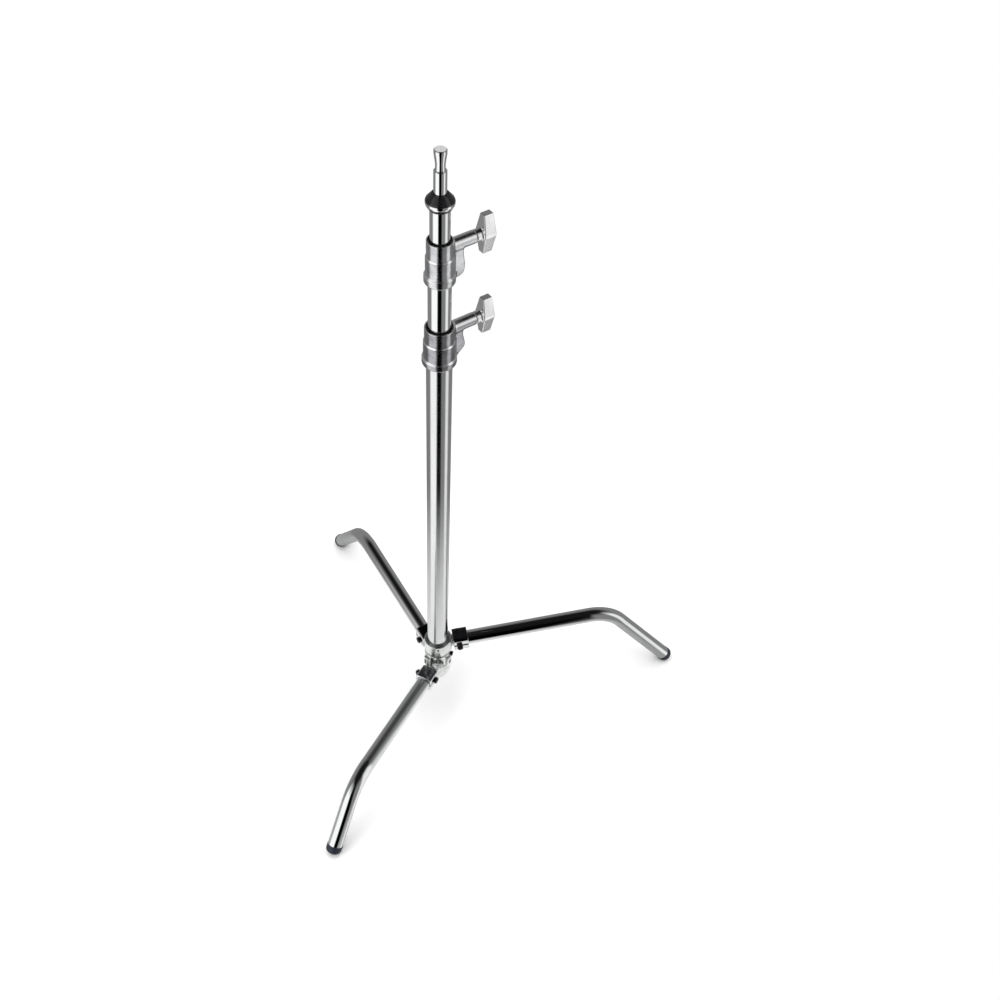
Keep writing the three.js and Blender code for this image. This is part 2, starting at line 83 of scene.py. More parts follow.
CORE = {"bore": 14.3, "outer": 17, "bottom": 64, "top": 160, "flange": 19.6}
RING = {"bore": 17.4, "outer": 22.5, "half_height": 14, "arm_width": 27, "arm_end": 25}
LOCK = {
    "azimuth": 272, "height": 121, "screw": 3, "boss": 7.5, "boss_end": 24.5, "knob": 10, "knob_end": 33.5,
}
EAR = {"offset": 48, "width": 11, "height": 21, "reach": 28.5, "slot_width": 5, "slot_height": 13}
STOP_BOLT = {"azimuth": 346, "height": 121, "head": 4, "reach": 27.5}
GRUB_SCREW = {"azimuth": 272, "height": 152, "radius": 1.8, "outer": 22}

LEGS = {
    "upper": {"azimuth": 8.7, "height": 145.3, "corner": 305.2, "body": "upper_leg"},
    "middle": {"azimuth": 120, "height": 114.9, "corner": 288.9, "body": "base"},
    "lower": {"azimuth": 241.8, "height": 83.8, "corner": 277.5, "body": "lower_leg"},
}
LEG = {"outer": 12.5, "inner": 10.5, "start": 28.2, "rise": 5.3, "fall": 51.9, "bend_radius": 68}
STUB = {"radius": 10.2, "end": 52}
SLEEVE = {"inner": 12.8, "half": 14.7, "corner": 5, "start": 27.2, "end": 53}
LEG_BOLT = {"at": 37, "radius": 2.9, "head": 5.6, "head_length": 4.5, "half_grip": 15.2, "nut_length": 5.5}
FOOT_CAP = {"radius": 13, "rim": 8.5, "dome": 8}

FLOOR_SHEET = 0.5

# The column's axis, and how far the frame stands from the heights written above.
tube_low, tube_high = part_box("base_tube")
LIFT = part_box("stud")[1].z - 1106 * MM
COLUMN = Matrix.Translation(((tube_low.x + tube_high.x) / 2, (tube_low.y + tube_high.y) / 2, LIFT))


def radial(azimuth, height, tilt=0.0):
    """A place on the column with local X pointing outwards at that azimuth, tilted up by tilt degrees."""
    turn = Matrix.Rotation(math.radians(azimuth), 4, "Z") @ Matrix.Rotation(-math.radians(tilt), 4, "Y")
    return COLUMN @ Matrix.Translation((0, 0, height * MM)) @ turn


# ---- Materials ----

class Nodes:
    """A material's node tree, built one node at a time."""

    def __init__(self, name, world=None):
        if world is not None:
            self.tree = world.node_tree
            return
        self.material = bpy.data.materials.new(name)
        self.material.use_nodes = True
        self.tree = self.material.node_tree
        self.shader = self.tree.nodes["Principled BSDF"]

    def add(self, kind, settings=None, **inputs):
        node = self.tree.nodes.new(kind)
        for name, value in (settings or {}).items():
            setattr(node, name, value)
        for name, value in inputs.items():
            self.put(node, name.replace("_", " "), value)
        return node

    def put(self, node, name, value):
        if isinstance(value, bpy.types.NodeSocket):
            self.tree.links.new(value, node.inputs[name])
        else:
            node.inputs[name].default_value = value

    def coordinates(self, kind, scale):
        source = self.add("ShaderNodeTexCoord").outputs[kind]
        mapping = self.add("ShaderNodeMapping")
        self.put(mapping, "Vector", source)
        self.put(mapping, "Scale", scale)
        return mapping.outputs["Vector"]

    def noise(self, vector, scale, detail=4.0, roughness=0.55):
        node = self.add(
            "ShaderNodeTexNoise", Vector=vector, Scale=scale, Detail=detail, Roughness=roughness)
        return node.outputs["Fac"]

    def ramp(self, value, low, high, low_value, high_value):
        node = self.add("ShaderNodeMapRange", Value=value)
        for name, number in (
            ("From Min", low), ("From Max", high), ("To Min", low_value), ("To Max", high_value),
        ):
            self.put(node, name, number)
        return node.outputs["Result"]

    def maths(self, operation, a, b):
        node = self.add("ShaderNodeMath", {"operation": operation})
        for index, value in enumerate((a, b)):
            if isinstance(value, bpy.types.NodeSocket):
                self.tree.links.new(value, node.inputs[index])
            else:
                node.inputs[index].default_value = value
        return node.outputs[0]

    def upward(self):
        """How far the surface faces up the piece's own Z axis, from -1 to 1."""
        normal = self.add("ShaderNodeTexCoord").outputs["Normal"]
        return self.add("ShaderNodeSeparateXYZ", Vector=normal).outputs["Z"]

    def blend_value(self, factor, a, b):
        return self.maths("ADD", self.maths("MULTIPLY", a, self.maths("SUBTRACT", 1.0, factor)),
                          self.maths("MULTIPLY", factor, b))

    def blend(self, factor, a, b):
        node = self.add("ShaderNodeMix", {"data_type": "RGBA"})
        for index, value in ((0, factor), (6, a), (7, b)):
            if isinstance(value, bpy.types.NodeSocket):
                self.tree.links.new(value, node.inputs[index])
            elif index == 0:
                node.inputs[0].default_value = value
            else:
                node.inputs[index].default_value = (*value, 1)
        return node.outputs[2]

    def bump(self, height, distance, strength=1.0, normal=None):
        node = self.add("ShaderNodeBump", Height=height, Distance=distance, Strength=strength)
        if normal is not None:
            self.put(node, "Normal", normal)
        return node.outputs["Normal"]

    def from_axis(self):
        """Distance from the object's own Z axis, in metres."""
        parts = self.add("ShaderNodeSeparateXYZ", Vector=self.add("ShaderNodeTexCoord").outputs["Object"])
        x, y = parts.outputs["X"], parts.outputs["Y"]
        squared = self.maths("ADD", self.maths("MULTIPLY", x, x), self.maths("MULTIPLY", y, y))
        return self.maths("SQRT", squared, 0)

    def surface(self, factor, first, second):
        """Shows a mix of two shaders instead of one."""
        mixed = self.add("ShaderNodeMixShader", Fac=factor)
        self.tree.links.new(first.outputs[0], mixed.inputs[1])
        self.tree.links.new(second.outputs[0], mixed.inputs[2])
        self.tree.links.new(mixed.outputs[0], self.tree.nodes["Material Output"].inputs["Surface"])

    def finish(self, **inputs):
        for name, value in inputs.items():
            self.put(self.shader, name.replace("_", " "), value)
        return self.material


def plated_tube(name, colour, dull, gloss_range, streak_depth, waves=0.0, faced=False):
    """Chrome plate on tube: faint lengthwise polish lines, cloudy patches and a few rub marks. Waves are
    long hollows left by bending and polishing, and a faced end is matt from the lathe.
    Its UV is in metres, round the tube and along it."""
    n = Nodes(name)
    along = n.coordinates("UV", (1, 0.03, 1))
    streaks = n.noise(along, 2600, 3)
    clouds = n.noise(n.coordinates("UV", (1, 0.35, 1)), 38, 5, 0.6)
    rubs = n.noise(n.coordinates("UV", (0.5, 0.012, 1)), 900, 2)
    rub_mask = n.ramp(rubs, 0.66, 0.74, 0, 1)
    low, high = gloss_range
    rough = n.maths("ADD", n.ramp(clouds, 0.3, 0.75, low, high), n.maths("MULTIPLY", streaks, 0.25 * high))
    rough = n.maths("ADD", rough, n.maths("MULTIPLY", rub_mask, 0.6 * high))
    tone = n.blend(n.ramp(clouds, 0.4, 0.8, 0, 0.35), colour, dull)
    tone = n.blend(n.maths("MULTIPLY", rub_mask, 0.25), tone, dull)
    height = n.maths("ADD", streaks, n.maths("MULTIPLY", clouds, 0.6))
    normal = n.bump(height, streak_depth, 0.6)
    if waves:
        normal = n.bump(n.noise(n.coordinates("UV", (1, 0.25, 1)), 60, 2), waves, 1.0, normal)
    metal = 1.0
    if faced:
        end = n.ramp(n.upward(), 0.9, 0.98, 0, 1)
        speckle = n.noise(n.coordinates("Object", (1, 1, 1)), 900, 3)
        metal = n.ramp(end, 0, 1, 1, 0.35)
        rough = n.maths("ADD", rough, n.maths("MULTIPLY", end, 0.4))
        matt = n.blend(n.ramp(speckle, 0.35, 0.65, 0, 1), (0.42, 0.42, 0.42), (0.62, 0.62, 0.61))
        tone = n.blend(end, tone, matt)
    return n.finish(Base_Color=tone, Metallic=metal, Roughness=rough, Normal=normal)


def cast_metal(name, colour, dark, bright, roughness, grain, shoulders=False):
    """Tumbled die casting: fine pits, cloudy tone, corners darkened as painted shade and edges brightened
    partly by wear, partly as painted highlight. Shoulders that slope upwards get a painted highlight."""
    n = Nodes(name)
    place = n.coordinates("Object", (1, 1, 1))
    pits = n.noise(place, 2400, 3, 0.6)
    lumps = n.noise(place, 260, 4, 0.55)
    clouds = n.noise(place, 55, 4, 0.6)
    edge = n.add("ShaderNodeNewGeometry").outputs["Pointiness"]
    # Edges, where pointiness is high, are brightened: partly wear, partly a painted highlight.
    wear_and_highlight = n.ramp(n.maths("ADD", edge, n.maths("MULTIPLY", lumps, 0.03)), 0.535, 0.575, 0, 1)
    # Painted shade: corners, where pointiness is low, are darkened.
    corner = n.ramp(edge, 0.44, 0.49, 1, 0)
    tone = n.blend(n.ramp(clouds, 0.35, 0.7, 0, 0.7), colour, dark)
    tone = n.blend(n.maths("MULTIPLY", corner, 0.6), tone, dark)
    tone = n.blend(n.maths("MULTIPLY", wear_and_highlight, 0.8), tone, bright)
    rough = n.maths("ADD", n.ramp(lumps, 0.3, 0.7, roughness - 0.05, roughness + 0.06),
                    n.maths("MULTIPLY", wear_and_highlight, -0.4 * roughness))
    if shoulders:
        # Painted highlight: shoulders that face upwards are brightened.
        painted_shoulder_highlight = n.ramp(n.upward(), 0.3, 0.5, 0, 1)
        tone = n.blend(n.maths("MULTIPLY", painted_shoulder_highlight, n.ramp(lumps, 0.3, 0.5, 0.75, 1)), tone, bright)
    height = n.maths("ADD", pits, n.maths("MULTIPLY", lumps, 2.2))
    return n.finish(
        Base_Color=tone, Metallic=1.0, Roughness=rough, Normal=n.bump(height, grain)
    )


def pressed_chrome(name, colour, dark):
    """Chrome plate on a pressed sleeve: shallow dents and a cloudy plate, with painted shade darkening its
    top and painted shade darkening the crease along its sides."""
    n = Nodes(name)
    place = n.coordinates("Object", (1, 1, 1))
    height = n.add("ShaderNodeSeparateXYZ", Vector=place).outputs["Z"]
    # Painted shade: the crease along the sides is darkened.
    crease = n.ramp(n.maths("ABSOLUTE", height, 0), 0.0006, 0.001, 1, 0)
    clouds = n.noise(place, 120, 4, 0.6)
    dents = n.noise(place, 190, 2)
    tone = n.blend(n.ramp(clouds, 0.4, 0.75, 0, 0.5), colour, dark)
    # Painted shade: surfaces that face up are darkened.
    painted_top_shade = n.maths("MULTIPLY", n.ramp(n.upward(), 0.5, 0.85, 0, 1), n.ramp(dents, 0.3, 0.7, 0.8, 1))
    tone = n.blend(painted_top_shade, tone, (0.12, 0.12, 0.14))
    tone = n.blend(crease, tone, (0.05, 0.05, 0.055))
    return n.finish(Base_Color=tone, Metallic=1.0, Roughness=n.ramp(clouds, 0.3, 0.7, 0.05, 0.13),
                    Normal=n.bump(dents, 0.00025))


def turned_steel(name, colour, dark, roughness, lines):
    """Turned or plated steel: fine tool rings round the axis and a cloudy plate."""
    n = Nodes(name)
    rings = n.noise(n.coordinates("UV", (0.02, 1, 1)), 4200, 2)
    clouds = n.noise(n.coordinates("Object", (1, 1, 1)), 140, 4)
    tone = n.blend(n.ramp(clouds, 0.35, 0.75, 0, 0.8), colour, dark)
    rough = n.maths("ADD", n.ramp(clouds, 0.3, 0.7, roughness - 0.05, roughness + 0.07),
                    n.maths("MULTIPLY", rings, 0.06))
    return n.finish(Base_Color=tone, Metallic=1.0, Roughness=rough, Normal=n.bump(rings, lines, 0.7))


def moulded(name, colour, bright, roughness, grain, scale, coat=0.0, with_painted_reflection=False):
    """Moulded plastic or rubber: an even skin with fine grain and dusty, paler patches. Where asked, a
    piece
    gets a painted reflection: a mirror-bright metallic stripe where its side stands upright."""
    n = Nodes(name)
    place = n.coordinates("Object", (1, 1, 1))
    skin = n.noise(place, scale, 3, 0.6)
    dust = n.noise(place, 90, 5, 0.65)
    tone = n.blend(n.ramp(dust, 0.5, 0.85, 0, 0.8), colour, bright)
    rough = n.ramp(dust, 0.35, 0.75, roughness - 0.04, roughness + 0.12)
    metal = 0.0
    if with_painted_reflection:
        # Painted reflection: a mirror-bright metallic stripe where the side stands upright stands in for
        # highlights.
        painted_reflection_band = n.ramp(n.maths("ABSOLUTE", n.upward(), 0), 0.3, 0.36, 1, 0)
        tone = n.blend(painted_reflection_band, tone, (0.8, 0.8, 0.81))
        rough = n.blend_value(painted_reflection_band, rough, 0.05)
        metal = painted_reflection_band
    return n.finish(
        Base_Color=tone, Metallic=metal, Roughness=rough, Normal=n.bump(skin, grain),
        Coat_Weight=coat, Coat_Roughness=0.05
    )


def make_materials():
    return {
        "polished_chrome": plated_tube(
            "polished_chrome", (0.80, 0.805, 0.81), (0.66, 0.67, 0.68), (0.02, 0.05), 0.0000025),
        "leg_chrome": plated_tube(
            "leg_chrome", (0.80, 0.805, 0.81), (0.64, 0.65, 0.66), (0.03, 0.07), 0.000003, waves=0.00008),
        "sleeve_chrome": pressed_chrome("sleeve_chrome", (0.80, 0.805, 0.81), (0.55, 0.56, 0.57)),
        "stud_chrome": plated_tube(
            "stud_chrome", (0.82, 0.825, 0.83), (0.7, 0.7, 0.71), (0.02, 0.05), 0.0000025, faced=True),
        "satin_chrome": plated_tube(
            "satin_chrome", (0.74, 0.745, 0.745), (0.6, 0.605, 0.61), (0.10, 0.17), 0.000008),
        "cast_metal": cast_metal(
            "cast_metal", (0.93, 0.945, 0.92), (0.56, 0.575, 0.56), (0.99, 0.99, 0.98), 0.3, 0.00005),
        "upper_casting": cast_metal(
            "upper_casting", (0.72, 0.725, 0.74), (0.34, 0.34, 0.36), (0.97, 0.97, 0.97),
            0.17, 0.00003, shoulders=True),
        # The lower collar's casting is a darker copy of the upper collar's: painted shade.
        "lower_casting": cast_metal(
            "lower_casting", (0.46, 0.46, 0.48), (0.20, 0.20, 0.22), (0.99, 0.99, 0.99),
            0.17, 0.00003, shoulders=True),
        "knob_casting": cast_metal(
            "knob_casting", (0.72, 0.735, 0.72), (0.05, 0.05, 0.05), (0.97, 0.97, 0.95), 0.2, 0.00004),
        "polished_casting": cast_metal(
            "polished_casting", (0.96, 0.96, 0.965), (0.74, 0.74, 0.75), (0.99, 0.99, 0.99), 0.09, 0.00002),
        "zinc_steel": turned_steel("zinc_steel", (0.58, 0.59, 0.60), (0.40, 0.41, 0.42), 0.3, 0.00001),
        "blackened_steel": turned_steel(
            "blackened_steel", (0.035, 0.035, 0.038), (0.02, 0.02, 0.022), 0.35, 0.00001),
        "brass": turned_steel("brass", (0.62, 0.46, 0.20), (0.45, 0.33, 0.15), 0.3, 0.00001),
        "black_nylon": moulded(
            "black_nylon", (0.012, 0.012, 0.013), (0.03, 0.03, 0.032), 0.42, 0.00001, 3000),
        # The bumper is glossy black plastic; its metallic stripe is a painted reflection.
        "gloss_black": moulded(
            "gloss_black", (0.005, 0.005, 0.006), (0.010, 0.010, 0.011), 0.12, 0.000003, 2500,
            coat=0.25, with_painted_reflection=True),
        "black_rubber": moulded(
            "black_rubber", (0.010, 0.014, 0.026), (0.035, 0.042, 0.055), 0.5, 0.00003, 1500),
    }


materials = make_materials()

# ---- Mesh building ----


def rounded(outline, steps=4):
    """Points of a closed outline in which a corner (a, b, radius) becomes an arc and (a, b) stays sharp."""
    points = []
    count = len(outline)
    for i, corner in enumerate(outline):
        here = np.array(corner[:2], float)
        radius = corner[2] if len(corner) > 2 else 0
        if radius == 0:
            points.append(here)
            continue
        before = np.array(outline[i - 1][:2], float) - here
        after = np.array(outline[(i + 1) % count][:2], float) - here
        before /= np.linalg.norm(before)
        after /= np.linalg.norm(after)
        half = math.acos(np.clip(before @ after, -1, 1)) / 2
        setback = radius / math.tan(half)
        middle = here + (before + after) / np.linalg.norm(before + after) * radius / math.sin(half)
        start = here + before * setback - middle
        end = here + after * setback - middle
        sweep = math.pi - 2 * half
        side = np.sign(start[0] * end[1] - start[1] * end[0])
        for k in range(steps + 1):
            angle = side * sweep * k / steps
            c, s = math.cos(angle), math.sin(angle)
            points.append(middle + [start[0] * c - start[1] * s, start[0] * s + start[1] * c])
    return points


def supported(outline, closed):
    """The outline with a point close to each end of every long stretch, so that smooth shading stays
    flat there."""
    points = []
    gap = 0.15
    count = len(outline)
    for i in range(count):
        a, b = np.array(outline[i], float), np.array(outline[(i + 1) % count], float)
        points.append(a)
        length = np.linalg.norm(b - a)
        if length > 4 * gap and (closed or i < count - 1):
            points.extend([a + (b - a) * gap / length, b - (b - a) * gap / length])
    return points


def straight(s):
    """A line along Z: its point, and two directions across it."""
    return np.array([0, 0, s]), np.array([1, 0, 0]), np.array([0, 1, 0])


def outwards(s):
    """A line along X."""
    return np.array([s, 0, 0]), np.array([0, 1, 0]), np.array([0, 0, 1])


def turned(outline, line=straight, sides=96):
    """A mesh turned about a line from an outline of (radius, distance along the line) in mm. An outline
    that starts and ends on the axis makes a solid; any other closes on itself and makes a ring."""
    vertices, faces, uvs = [], [], []
    rings = []
    angles = [2 * math.pi * k / sides for k in range(sides)]
    widest = max(p[0] for p in outline)
    outline = supported(outline, outline[0][0] > 0)
    for radius, s in outline:
        centre, across, up = line(s)
        if radius < 1e-6:
            rings.append([len(vertices)])
            vertices.append(centre * MM)
            continue
        rings.append(list(range(len(vertices), len(vertices) + sides)))
        for a in angles:
            vertices.append((centre + radius * (math.cos(a) * across + math.sin(a) * up)) * MM)
    solid = len(rings[0]) == 1 and len(rings[-1]) == 1
    travel = np.concatenate([[0], np.cumsum([
        math.dist(outline[i], outline[(i + 1) % len(outline)]) for i in range(len(outline))
    ])])
    for i in range(len(outline) - 1 if solid else len(outline)):
        a, b = rings[i], rings[(i + 1) % len(rings)]
        for k in range(sides):
            m = (k + 1) % sides
            u0, u1 = k / sides, (k + 1) / sides
            corners = [
                (a[k % len(a)], u0, travel[i]), (a[m % len(a)], u1, travel[i]),
                (b[m % len(b)], u1, travel[i + 1]), (b[k % len(b)], u0, travel[i + 1]),
            ]
            kept = [c for j, c in enumerate(corners) if c[0] != corners[j - 1][0]]
            faces.append([c[0] for c in kept])
            uvs.extend((c[1] * 2 * math.pi * widest * MM, c[2] * MM) for c in kept)
    return build_mesh(vertices, faces, uvs)


def build_mesh(vertices, faces, uvs=None):
    mesh = bpy.data.meshes.new("piece")
    mesh.from_pydata([tuple(v) for v in vertices], [], faces)
    if uvs is not None:
        layer = mesh.uv_layers.new(name="metres")
        layer.data.foreach_set("uv", np.array(uvs, np.float32).ravel())
    if signed_volume(mesh) < 0:
        mesh.flip_normals()
    mesh.validate()
    mesh.shade_smooth()
    return mesh


def signed_volume(mesh):
    mesh.calc_loop_triangles()
    points = np.zeros(len(mesh.vertices) * 3)
    mesh.vertices.foreach_get("co", points)
    points = points.reshape(-1, 3)
    index = np.zeros(len(mesh.loop_triangles) * 3, int)
    mesh.loop_triangles.foreach_get("vertices", index)
    a, b, c = points[index.reshape(-1, 3)].transpose(1, 0, 2)
    return float(np.einsum("ij,ij->", a, np.cross(b, c)))


def surface_of(field, low, high, cell):
    """The zero surface of a distance field in mm as a mesh of quads (naive surface nets), pulled onto
    the field's true surface."""
    low = np.array(low, float)
    counts = np.ceil((np.array(high, float) - low) / cell).astype(int) + 1
    axes = [low[i] + cell * np.arange(counts[i]) for i in range(3)]
    grid = np.meshgrid(*axes, indexing="ij")
    values = field(*grid)
    total = np.zeros((*(counts - 1), 3))
    crossings = np.zeros(counts - 1)
    corner = lambda o: tuple(slice(o[i], counts[i] - 1 + o[i]) for i in range(3))
    offsets = [(i, j, k) for i in (0, 1) for j in (0, 1) for k in (0, 1)]
    for a in offsets:
        for axis in range(3):
            if a[axis]:
                continue
            b = list(a)
            b[axis] = 1
            va, vb = values[corner(a)], values[corner(b)]
            cross = (va < 0) != (vb < 0)
            share = np.where(cross, va / np.where(cross, va - vb, 1), 0)
            for i in range(3):
                total[..., i] += np.where(cross, a[i] + (share if i == axis else 0), 0)
            crossings += cross
    active = crossings > 0
    index = np.full(active.shape, -1)
    index[active] = np.arange(active.sum())
    base = np.argwhere(active)
    points = low + cell * (base + total[active] / crossings[active][:, None])
    points = settle(points, field, cell)
    faces = []
    inside = values < 0
    for axis in range(3):
        u, v = [i for i in range(3) if i != axis]
        ends = [slice(1, counts[i] - 1) for i in range(3)]
        ends[axis] = slice(0, counts[axis] - 1)
        shifted = list(ends)
        shifted[axis] = slice(1, counts[axis])
        first, second = inside[tuple(ends)], inside[tuple(shifted)]
        where = np.argwhere(first != second)
        outward = first[tuple(where.T)]
        where = where + [1 if i != axis else 0 for i in range(3)]
        loop = []
        for du, dv in ((0, 0), (1, 0), (1, 1), (0, 1)):
            cellpos = where.copy()
            cellpos[:, u] -= du
            cellpos[:, v] -= dv
            loop.append(index[tuple(cellpos.T)])
        quads = np.stack(loop, 1)
        flip = outward if axis != 1 else ~outward
        quads[~flip] = quads[~flip][:, ::-1]
        faces.append(quads)
    return build_mesh(points * MM, np.concatenate(faces).tolist())


def settle(points, field, cell):
    """Move points along the field's slope until they lie on its zero surface, by at most half a cell."""
    start = points.copy()
    step = 0.02
    for _ in range(3):
        value = field(*points.T)
        slope = np.stack([
            (field(*(points + step * axis).T) - field(*(points - step * axis).T)) / (2 * step)
            for axis in np.eye(3)
        ], 1)
        move = -value[:, None] * slope / np.maximum((slope ** 2).sum(1), 0.2)[:, None]
        points = np.clip(points + move, start - cell / 2, start + cell / 2)
    return points


# Distance fields, in mm. Each takes arrays and gives a distance, negative inside.

def rod_field(across, along, radius, start, end, edge=0.6):
    """A round bar; across is the distance from its axis. Its edges are rounded."""
    side = across - (radius - edge)
    cap = np.abs(along - (start + end) / 2) - ((end - start) / 2 - edge)
    return np.minimum(np.maximum(side, cap), 0) + np.hypot(np.maximum(side, 0), np.maximum(cap, 0)) - edge


def block_field(x, y, z, half, edge=0.8):
    q = [np.abs(p) - (h - edge) for p, h in zip((x, y, z), half)]
    outside = np.sqrt(sum(np.maximum(p, 0) ** 2 for p in q))
    return outside + np.minimum(np.maximum(np.maximum(q[0], q[1]), q[2]), 0) - edge


def outline_field(u, v, corners):
    """Distance to a polygon in the plane."""
    nearest = np.full(u.shape, 1e9)
    inside = np.zeros(u.shape, bool)
    for (ax, ay), (bx, by) in zip(corners, corners[1:] + corners[:1]):
        dx, dy = bx - ax, by - ay
        t = np.clip(((u - ax) * dx + (v - ay) * dy) / (dx * dx + dy * dy), 0, 1)
        nearest = np.minimum(nearest, (u - ax - t * dx) ** 2 + (v - ay - t * dy) ** 2)
        if dy != 0:
            inside ^= ((ay > v) != (by > v)) & (u < (v - ay) * dx / dy + ax)
    return np.where(inside, -1, 1) * np.sqrt(nearest)


def slab_field(plane, across, half, edge):
    """A flat plate: an outline's distance and the distance across the plate, with rounded edges."""
    side, cap = plane + edge, np.abs(across) - (half - edge)
    return np.minimum(np.maximum(side, cap), 0) + np.hypot(np.maximum(side, 0), np.maximum(cap, 0)) - edge


def join(a, b, fillet):
    h = np.clip(0.5 + 0.5 * (b - a) / fillet, 0, 1)
    return b * (1 - h) + a * h - fillet * h * (1 - h)


def cut(a, b, edge=0.3):
    return -join(-a, b, edge)


def add_piece(name, mesh, body, slot, replaces=(), place=COLUMN, material=None, upright=False):
    """An upright piece keeps the stand's own axes, so that its box is a true one."""
    if upright:
        mesh.transform(place)
        place = Matrix()
    piece = bpy.data.objects.new(name, mesh)
    bpy.context.scene.collection.objects.link(piece)
    mesh.materials.append(materials[material or slot])
    piece.matrix_world = place
    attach(piece, body)
    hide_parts(*replaces)
    return piece


# ---- Column ----

def tube_outline(size, edge=0.5):
    inner, outer, bottom, top = size["inner"], size["outer"], size["bottom"], size["top"]
    return rounded([(inner, bottom), (outer, bottom, edge), (outer, top, edge), (inner, top, 0.3)])


def make_column():
    add_piece("base_tube_skin", turned(tube_outline(BASE_TUBE)), "column", "satin_chrome", ["base_tube"])
    add_piece("riser_1_skin", turned(tube_outline(RISER_1)), "riser_1", "polished_chrome", ["riser_1_tube"])
    add_piece("riser_2_skin", turned(tube_outline(RISER_2)), "riser_2", "polished_chrome", ["riser_2_tube"])


def make_stud_and_bumper():
    stud = rounded([
        (0, 998), (10.2, 998, 0.5), (10.2, 1046.3, 0.3), (8, 1046.3), (8, 1079, 0.6), (6, 1081, 1.2),
        (6, 1088, 14), (7.85, 1101, 6), (7.85, 1104.8, 0.5), (6.7, 1106, 0.4), (0, 1106),
    ], 6)
    add_piece("stud_skin", turned(stud), "riser_2", "polished_chrome", ["stud"], material="stud_chrome")
    bumper = rounded([
        (12.8, 1030), (14, 1030, 0.8), (17.2, 1035.5, 0.6), (17.8, 1037.5, 0.6), (17.8, 1040.5, 0.6),
        (17, 1042.5, 0.6), (10.5, 1050, 0.8), (8.3, 1050, 0.3), (8.3, 1046.6), (12.8, 1046.6),
    ], 6)
    add_piece("bumper_ring_skin", turned(bumper), "riser_2", "gloss_black", ["bumper_ring"])


# ---- Clamp collars ----

def collar_field(collar):
    level = collar["screw"] - collar["bottom"]
    bore = collar["seat"]["outer"] + 0.3
    edge, shoulder, chamfer = 0.6, 1.1, 1.2
    (low_top, low_radius), (middle_top, middle_radius), (top, top_radius) = collar["steps"]
    profile = [
        (0, edge), (low_radius - chamfer, edge), (low_radius - edge, chamfer + edge),
        (low_radius - edge, low_top - shoulder), (middle_radius - edge, low_top + shoulder),
        (middle_radius - edge, middle_top - shoulder), (top_radius - edge, middle_top + shoulder),
        (top_radius - edge, top - edge), (0, top - edge),
    ]

    def field(x, y, z):
        rho = np.hypot(x, y)
        shape = outline_field(rho, z, profile) - edge
        boss = rod_field(np.hypot(y, z - level), x, BOSS_RADIUS, 5, collar["boss_end"], 0.9)
        web = slab_field(outline_field(x, z, collar["web"]), y, WEB_WIDTH / 2, 2.2)
        shape = join(join(shape, boss, 3.5), web, 3.0)
        shape = cut(shape, rho - bore, 0.5)
        pocket_end = collar["seat"]["outer"] + SHOE_POCKET["beyond_seat"]
        pocket = rod_field(np.hypot(y, z - level), x, SHOE_POCKET["radius"], 0, pocket_end, 0.2)
        shape = cut(shape, pocket, 0.3)
        thread = np.maximum(np.hypot(y, z - level) - SCREW_RADIUS - 0.4, -x)
        return cut(shape, thread, 0.5)

    return field


def screw_thread(start, end, radius, pitch, sides=32):
    """A screw along X: its radius rises and falls along a helix."""
    steps_per_turn = 12
    count = int((end - start) / pitch * steps_per_turn)
    vertices, faces = [], []
    for i in range(count + 1):
        s = start + (end - start) * i / count
        for k in range(sides):
            phase = (i / steps_per_turn - k / sides) % 1
            depth = 0.45 * (1 - abs(2 * phase - 1)) * (0 < i < count)
            r = radius - 0.5 + depth
            a = 2 * math.pi * k / sides
            vertices.append((s * MM, r * math.cos(a) * MM, r * math.sin(a) * MM))
    for i in range(count):
        for k in range(sides):
            m = (k + 1) % sides
            faces.append([i * sides + k, i * sides + m, (i + 1) * sides + m, (i + 1) * sides + k])
    faces.append(list(range(sides)))
    faces.append(list(range(count * sides, (count + 1) * sides)))
    return build_mesh(vertices, faces)


def t_knob_field(x, y, z):
    size = T_KNOB
    half = size["length"] / 2
    centre = 0.3 + size["skirt_length"] + size["thick"] / 2

    def taper(u, wide, narrow):
        outline = [
            (-narrow / 2, -half), (narrow / 2, -half), (wide / 2, -2), (wide / 2, 2),
            (narrow / 2, half), (-narrow / 2, half), (-wide / 2, 2), (-wide / 2, -2),
        ]
        return outline_field(u, z, outline)

    edge = 1.0
    side = taper(x - centre, size["thick"], size["thin"]) + edge
    front = taper(y, size["middle"], size["end"]) + edge
    inside = np.minimum(np.maximum(side, front), 0)
    bar = inside + np.hypot(np.maximum(side, 0), np.maximum(front, 0)) - edge
    skirt = rod_field(np.hypot(y, z), x, size["skirt"], 0.6, size["skirt_length"] + 3, 0.8)
    shape = join(bar, skirt, 3.0)
    return cut(shape, rod_field(np.hypot(y, z), x, SCREW_RADIUS + 0.3, -5, centre, 0.3), 0.4)


